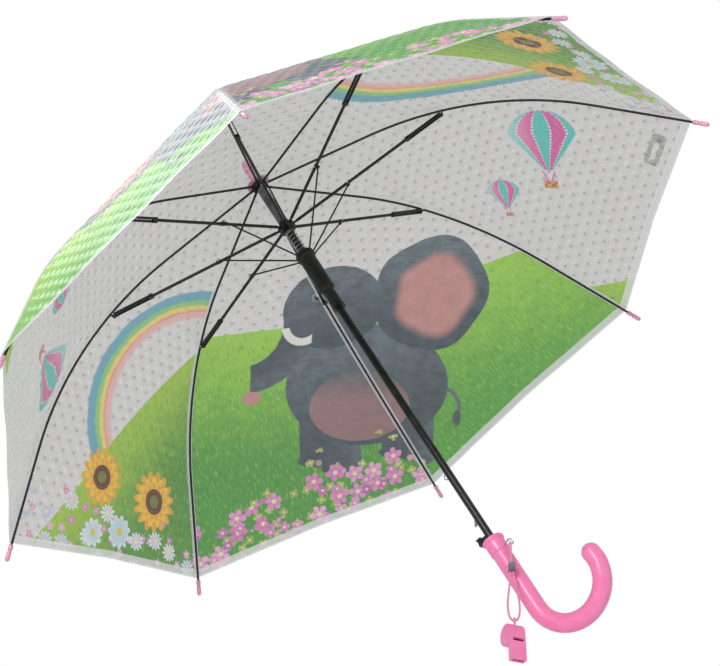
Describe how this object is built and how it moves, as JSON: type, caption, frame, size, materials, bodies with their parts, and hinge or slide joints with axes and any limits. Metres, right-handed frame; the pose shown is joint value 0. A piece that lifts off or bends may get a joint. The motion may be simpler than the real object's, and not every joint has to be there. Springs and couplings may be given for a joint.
{
  "type": "children's umbrella",
  "caption": "Child-size dome umbrella with clear printed film panels, sliding hub and runner, hook handle and whistle",
  "frame": {"origin": "middle of the grip, on the shaft's axis", "axes": "+Z along the shaft towards the ferrule, +X towards the hook's side"},
  "size_m": [0.7962, 0.7962, 0.6736],
  "materials": {
    "black_enamel": "gloss",
    "black_plastic": "satin",
    "fibre_rod": "satin",
    "pink_plastic": "gloss",
    "steel": "polished",
    "spring_steel": "satin",
    "film": "embossed gloss",
    "tip_plastic": "gloss",
    "cord": "woven"
  },
  "bodies": {
    "frame": {"shaft": "black_enamel", "ferrule": "pink_plastic", "top_notch": "black_plastic", "notch_wire": "steel", "buffer_spring": "spring_steel", "handle": "pink_plastic", "safety_spring": "spring_steel", "lanyard_ring": "steel"},
    "hub_slider": {"hub": "black_plastic", "hub_wire": "steel"},
    "runner_slider": {"runner": "black_plastic", "runner_wire": "steel", "main_spring": "spring_steel"},
    "button": {"push_button": "black_plastic"},
    "catch": {"catch_spring": "spring_steel"},
    "whistle_cord": {"lanyard_cord": "cord", "cord_crimp": "spring_steel", "whistle": "pink_plastic"},
    "rib_arm_1": {"rib_1": "fibre_rod", "tip_1": "tip_plastic"},
    "stretcher_arm_1": {"stretcher_1": "black_enamel"},
    "link_arm_1": {"link_1": "black_enamel"},
    "gore_panel_1": {"gore_1": "film"},
    "rib_arm_2": {"rib_2": "fibre_rod", "tip_2": "tip_plastic"},
    "stretcher_arm_2": {"stretcher_2": "black_enamel"},
    "link_arm_2": {"link_2": "black_enamel"},
    "gore_panel_2": {"gore_2": "film", "tie_strap": "film", "snap": "steel"},
    "rib_arm_3": {"rib_3": "fibre_rod", "tip_3": "tip_plastic"},
    "stretcher_arm_3": {"stretcher_3": "black_enamel"},
    "link_arm_3": {"link_3": "black_enamel"},
    "gore_panel_3": {"gore_3": "film"},
    "rib_arm_4": {"rib_4": "fibre_rod", "tip_4": "tip_plastic"},
    "stretcher_arm_4": {"stretcher_4": "black_enamel"},
    "link_arm_4": {"link_4": "black_enamel"},
    "gore_panel_4": {"gore_4": "film"},
    "rib_arm_5": {"rib_5": "fibre_rod", "tip_5": "tip_plastic"},
    "stretcher_arm_5": {"stretcher_5": "black_enamel"},
    "link_arm_5": {"link_5": "black_enamel"},
    "gore_panel_5": {"gore_5": "film"},
    "rib_arm_6": {"rib_6": "fibre_rod", "tip_6": "tip_plastic"},
    "stretcher_arm_6": {"stretcher_6": "black_enamel"},
    "link_arm_6": {"link_6": "black_enamel"},
    "gore_panel_6": {"gore_6": "film"},
    "rib_arm_7": {"rib_7": "fibre_rod", "tip_7": "tip_plastic"},
    "stretcher_arm_7": {"stretcher_7": "black_enamel"},
    "link_arm_7": {"link_7": "black_enamel"},
    "gore_panel_7": {"gore_7": "film"},
    "rib_arm_8": {"rib_8": "fibre_rod", "tip_8": "tip_plastic"},
    "stretcher_arm_8": {"stretcher_8": "black_enamel"},
    "link_arm_8": {"link_8": "black_enamel"},
    "gore_panel_8": {"gore_8": "film"}
  },
  "joints": [
    {"name": "fold", "type": "slide", "parent": "frame", "child": "runner_slider", "axis": [0, 0, -1], "range_m": [0, 0.29597], "stiffness_N_per_m": 40, "springref_m": -0.25, "deforming": ["main_spring", "safety_spring", "catch_spring", "tie_strap", "snap", "gore_1", "gore_2", "gore_3", "gore_4", "gore_5", "gore_6", "gore_7", "gore_8"]},
    {"name": "hub_slide", "type": "slide", "parent": "frame", "child": "hub_slider", "axis": [0, 0, -1], "range_m": [0, 0.3243]},
    {"name": "rib_hinge_1", "type": "hinge", "parent": "frame", "child": "rib_arm_1", "pos_m": [0.00647, -0.00268, 0.54], "axis": [0.3827, 0.9239, 0], "range_deg": [0, 60.01]},
    {"name": "stretcher_hinge_1", "type": "hinge", "parent": "hub_slider", "child": "stretcher_arm_1", "pos_m": [0.00739, -0.00306, 0.476], "axis": [-0.3827, -0.9239, 0], "range_deg": [0, 66.46]},
    {"name": "link_hinge_1", "type": "hinge", "parent": "runner_slider", "child": "link_arm_1", "pos_m": [0.00795, -0.00329, 0.431], "axis": [-0.3827, -0.9239, 0], "range_deg": [0, 40.15]},
    {"name": "film_furl_1", "type": "hinge", "parent": "rib_arm_1", "child": "gore_panel_1", "pos_m": [0.01529, -0.00634, 0.55757], "axis": [0.8116, -0.3362, -0.4778], "range_deg": [0, 80.01]},
    {"name": "rib_hinge_2", "type": "hinge", "parent": "frame", "child": "rib_arm_2", "pos_m": [0.00647, 0.00268, 0.54], "axis": [-0.3827, 0.9239, 0], "range_deg": [0, 60.01]},
    {"name": "stretcher_hinge_2", "type": "hinge", "parent": "hub_slider", "child": "stretcher_arm_2", "pos_m": [0.00739, 0.00306, 0.476], "axis": [0.3827, -0.9239, 0], "range_deg": [0, 66.46]},
    {"name": "link_hinge_2", "type": "hinge", "parent": "runner_slider", "child": "link_arm_2", "pos_m": [0.00795, 0.00329, 0.431], "axis": [0.3827, -0.9239, 0], "range_deg": [0, 40.15]},
    {"name": "film_furl_2", "type": "hinge", "parent": "rib_arm_2", "child": "gore_panel_2", "pos_m": [0.01529, 0.00634, 0.55757], "axis": [0.8116, 0.3362, -0.4778], "range_deg": [0, 80.01]},
    {"name": "rib_hinge_3", "type": "hinge", "parent": "frame", "child": "rib_arm_3", "pos_m": [0.00268, 0.00647, 0.54], "axis": [-0.9239, 0.3827, 0], "range_deg": [0, 60.01]},
    {"name": "stretcher_hinge_3", "type": "hinge", "parent": "hub_slider", "child": "stretcher_arm_3", "pos_m": [0.00306, 0.00739, 0.476], "axis": [0.9239, -0.3827, 0], "range_deg": [0, 66.46]},
    {"name": "link_hinge_3", "type": "hinge", "parent": "runner_slider", "child": "link_arm_3", "pos_m": [0.00329, 0.00795, 0.431], "axis": [0.9239, -0.3827, 0], "range_deg": [0, 40.15]},
    {"name": "film_furl_3", "type": "hinge", "parent": "rib_arm_3", "child": "gore_panel_3", "pos_m": [0.00634, 0.01529, 0.55757], "axis": [0.3362, 0.8116, -0.4778], "range_deg": [0, 80.01]},
    {"name": "rib_hinge_4", "type": "hinge", "parent": "frame", "child": "rib_arm_4", "pos_m": [-0.00268, 0.00647, 0.54], "axis": [-0.9239, -0.3827, 0], "range_deg": [0, 60.01]},
    {"name": "stretcher_hinge_4", "type": "hinge", "parent": "hub_slider", "child": "stretcher_arm_4", "pos_m": [-0.00306, 0.00739, 0.476], "axis": [0.9239, 0.3827, 0], "range_deg": [0, 66.46]},
    {"name": "link_hinge_4", "type": "hinge", "parent": "runner_slider", "child": "link_arm_4", "pos_m": [-0.00329, 0.00795, 0.431], "axis": [0.9239, 0.3827, 0], "range_deg": [0, 40.15]},
    {"name": "film_furl_4", "type": "hinge", "parent": "rib_arm_4", "child": "gore_panel_4", "pos_m": [-0.00634, 0.01529, 0.55757], "axis": [-0.3362, 0.8116, -0.4778], "range_deg": [0, 80.01]},
    {"name": "rib_hinge_5", "type": "hinge", "parent": "frame", "child": "rib_arm_5", "pos_m": [-0.00647, 0.00268, 0.54], "axis": [-0.3827, -0.9239, 0], "range_deg": [0, 60.01]},
    {"name": "stretcher_hinge_5", "type": "hinge", "parent": "hub_slider", "child": "stretcher_arm_5", "pos_m": [-0.00739, 0.00306, 0.476], "axis": [0.3827, 0.9239, 0], "range_deg": [0, 66.46]},
    {"name": "link_hinge_5", "type": "hinge", "parent": "runner_slider", "child": "link_arm_5", "pos_m": [-0.00795, 0.00329, 0.431], "axis": [0.3827, 0.9239, 0], "range_deg": [0, 40.15]},
    {"name": "film_furl_5", "type": "hinge", "parent": "rib_arm_5", "child": "gore_panel_5", "pos_m": [-0.01529, 0.00634, 0.55757], "axis": [-0.8116, 0.3362, -0.4778], "range_deg": [0, 80.01]},
    {"name": "rib_hinge_6", "type": "hinge", "parent": "frame", "child": "rib_arm_6", "pos_m": [-0.00647, -0.00268, 0.54], "axis": [0.3827, -0.9239, 0], "range_deg": [0, 60.01]},
    {"name": "stretcher_hinge_6", "type": "hinge", "parent": "hub_slider", "child": "stretcher_arm_6", "pos_m": [-0.00739, -0.00306, 0.476], "axis": [-0.3827, 0.9239, 0], "range_deg": [0, 66.46]},
    {"name": "link_hinge_6", "type": "hinge", "parent": "runner_slider", "child": "link_arm_6", "pos_m": [-0.00795, -0.00329, 0.431], "axis": [-0.3827, 0.9239, 0], "range_deg": [0, 40.15]},
    {"name": "film_furl_6", "type": "hinge", "parent": "rib_arm_6", "child": "gore_panel_6", "pos_m": [-0.01529, -0.00634, 0.55757], "axis": [-0.8116, -0.3362, -0.4778], "range_deg": [0, 80.01]},
    {"name": "rib_hinge_7", "type": "hinge", "parent": "frame", "child": "rib_arm_7", "pos_m": [-0.00268, -0.00647, 0.54], "axis": [0.9239, -0.3827, 0], "range_deg": [0, 60.01]},
    {"name": "stretcher_hinge_7", "type": "hinge", "parent": "hub_slider", "child": "stretcher_arm_7", "pos_m": [-0.00306, -0.00739, 0.476], "axis": [-0.9239, 0.3827, 0], "range_deg": [0, 66.46]},
    {"name": "link_hinge_7", "type": "hinge", "parent": "runner_slider", "child": "link_arm_7", "pos_m": [-0.00329, -0.00795, 0.431], "axis": [-0.9239, 0.3827, 0], "range_deg": [0, 40.15]},
    {"name": "film_furl_7", "type": "hinge", "parent": "rib_arm_7", "child": "gore_panel_7", "pos_m": [-0.00634, -0.01529, 0.55757], "axis": [-0.3362, -0.8116, -0.4778], "range_deg": [0, 80.01]},
    {"name": "rib_hinge_8", "type": "hinge", "parent": "frame", "child": "rib_arm_8", "pos_m": [0.00268, -0.00647, 0.54], "axis": [0.9239, 0.3827, 0], "range_deg": [0, 60.01]},
    {"name": "stretcher_hinge_8", "type": "hinge", "parent": "hub_slider", "child": "stretcher_arm_8", "pos_m": [0.00306, -0.00739, 0.476], "axis": [-0.9239, -0.3827, 0], "range_deg": [0, 66.46]},
    {"name": "link_hinge_8", "type": "hinge", "parent": "runner_slider", "child": "link_arm_8", "pos_m": [0.00329, -0.00795, 0.431], "axis": [-0.9239, -0.3827, 0], "range_deg": [0, 40.15]},
    {"name": "film_furl_8", "type": "hinge", "parent": "rib_arm_8", "child": "gore_panel_8", "pos_m": [0.00634, -0.01529, 0.55757], "axis": [0.3362, -0.8116, -0.4778], "range_deg": [0, 80.01]},
    {"name": "button_press", "type": "slide", "parent": "frame", "child": "button", "axis": [1, 0, 0], "range_m": [0, 0.003], "stiffness_N_per_m": 600, "springref_m": -0.001},
    {"name": "catch_slide", "type": "slide", "parent": "frame", "child": "catch", "axis": [1, 0, 0], "range_m": [0, 0.0036]},
    {"name": "whistle_swing", "type": "hinge", "parent": "frame", "child": "whistle_cord", "pos_m": [0.0168, -0.0079, 0.022], "axis": [-0.6018, 0.7986, 0], "range_deg": [-12, 15]}
  ],
  "couplings": [
    {"joint": "hub_slide", "follows": "fold", "ratio": 1.0957},
    {"joint": "rib_hinge_1", "follows": "fold", "rad_per_m": 3.5382},
    {"joint": "stretcher_hinge_1", "follows": "fold", "rad_per_m": 3.9186},
    {"joint": "link_hinge_1", "follows": "fold", "rad_per_m": 2.3673},
    {"joint": "film_furl_1", "follows": "fold", "rad_per_m": 4.7176},
    {"joint": "rib_hinge_2", "follows": "fold", "rad_per_m": 3.5382},
    {"joint": "stretcher_hinge_2", "follows": "fold", "rad_per_m": 3.9186},
    {"joint": "link_hinge_2", "follows": "fold", "rad_per_m": 2.3673},
    {"joint": "film_furl_2", "follows": "fold", "rad_per_m": 4.7176},
    {"joint": "rib_hinge_3", "follows": "fold", "rad_per_m": 3.5382},
    {"joint": "stretcher_hinge_3", "follows": "fold", "rad_per_m": 3.9186},
    {"joint": "link_hinge_3", "follows": "fold", "rad_per_m": 2.3673},
    {"joint": "film_furl_3", "follows": "fold", "rad_per_m": 4.7176},
    {"joint": "rib_hinge_4", "follows": "fold", "rad_per_m": 3.5382},
    {"joint": "stretcher_hinge_4", "follows": "fold", "rad_per_m": 3.9186},
    {"joint": "link_hinge_4", "follows": "fold", "rad_per_m": 2.3673},
    {"joint": "film_furl_4", "follows": "fold", "rad_per_m": 4.7176},
    {"joint": "rib_hinge_5", "follows": "fold", "rad_per_m": 3.5382},
    {"joint": "stretcher_hinge_5", "follows": "fold", "rad_per_m": 3.9186},
    {"joint": "link_hinge_5", "follows": "fold", "rad_per_m": 2.3673},
    {"joint": "film_furl_5", "follows": "fold", "rad_per_m": 4.7176},
    {"joint": "rib_hinge_6", "follows": "fold", "rad_per_m": 3.5382},
    {"joint": "stretcher_hinge_6", "follows": "fold", "rad_per_m": 3.9186},
    {"joint": "link_hinge_6", "follows": "fold", "rad_per_m": 2.3673},
    {"joint": "film_furl_6", "follows": "fold", "rad_per_m": 4.7176},
    {"joint": "rib_hinge_7", "follows": "fold", "rad_per_m": 3.5382},
    {"joint": "stretcher_hinge_7", "follows": "fold", "rad_per_m": 3.9186},
    {"joint": "link_hinge_7", "follows": "fold", "rad_per_m": 2.3673},
    {"joint": "film_furl_7", "follows": "fold", "rad_per_m": 4.7176},
    {"joint": "rib_hinge_8", "follows": "fold", "rad_per_m": 3.5382},
    {"joint": "stretcher_hinge_8", "follows": "fold", "rad_per_m": 3.9186},
    {"joint": "link_hinge_8", "follows": "fold", "rad_per_m": 2.3673},
    {"joint": "film_furl_8", "follows": "fold", "rad_per_m": 4.7176},
    {"joint": "catch_slide", "follows": "button_press", "ratio": 1.2}
  ]
}
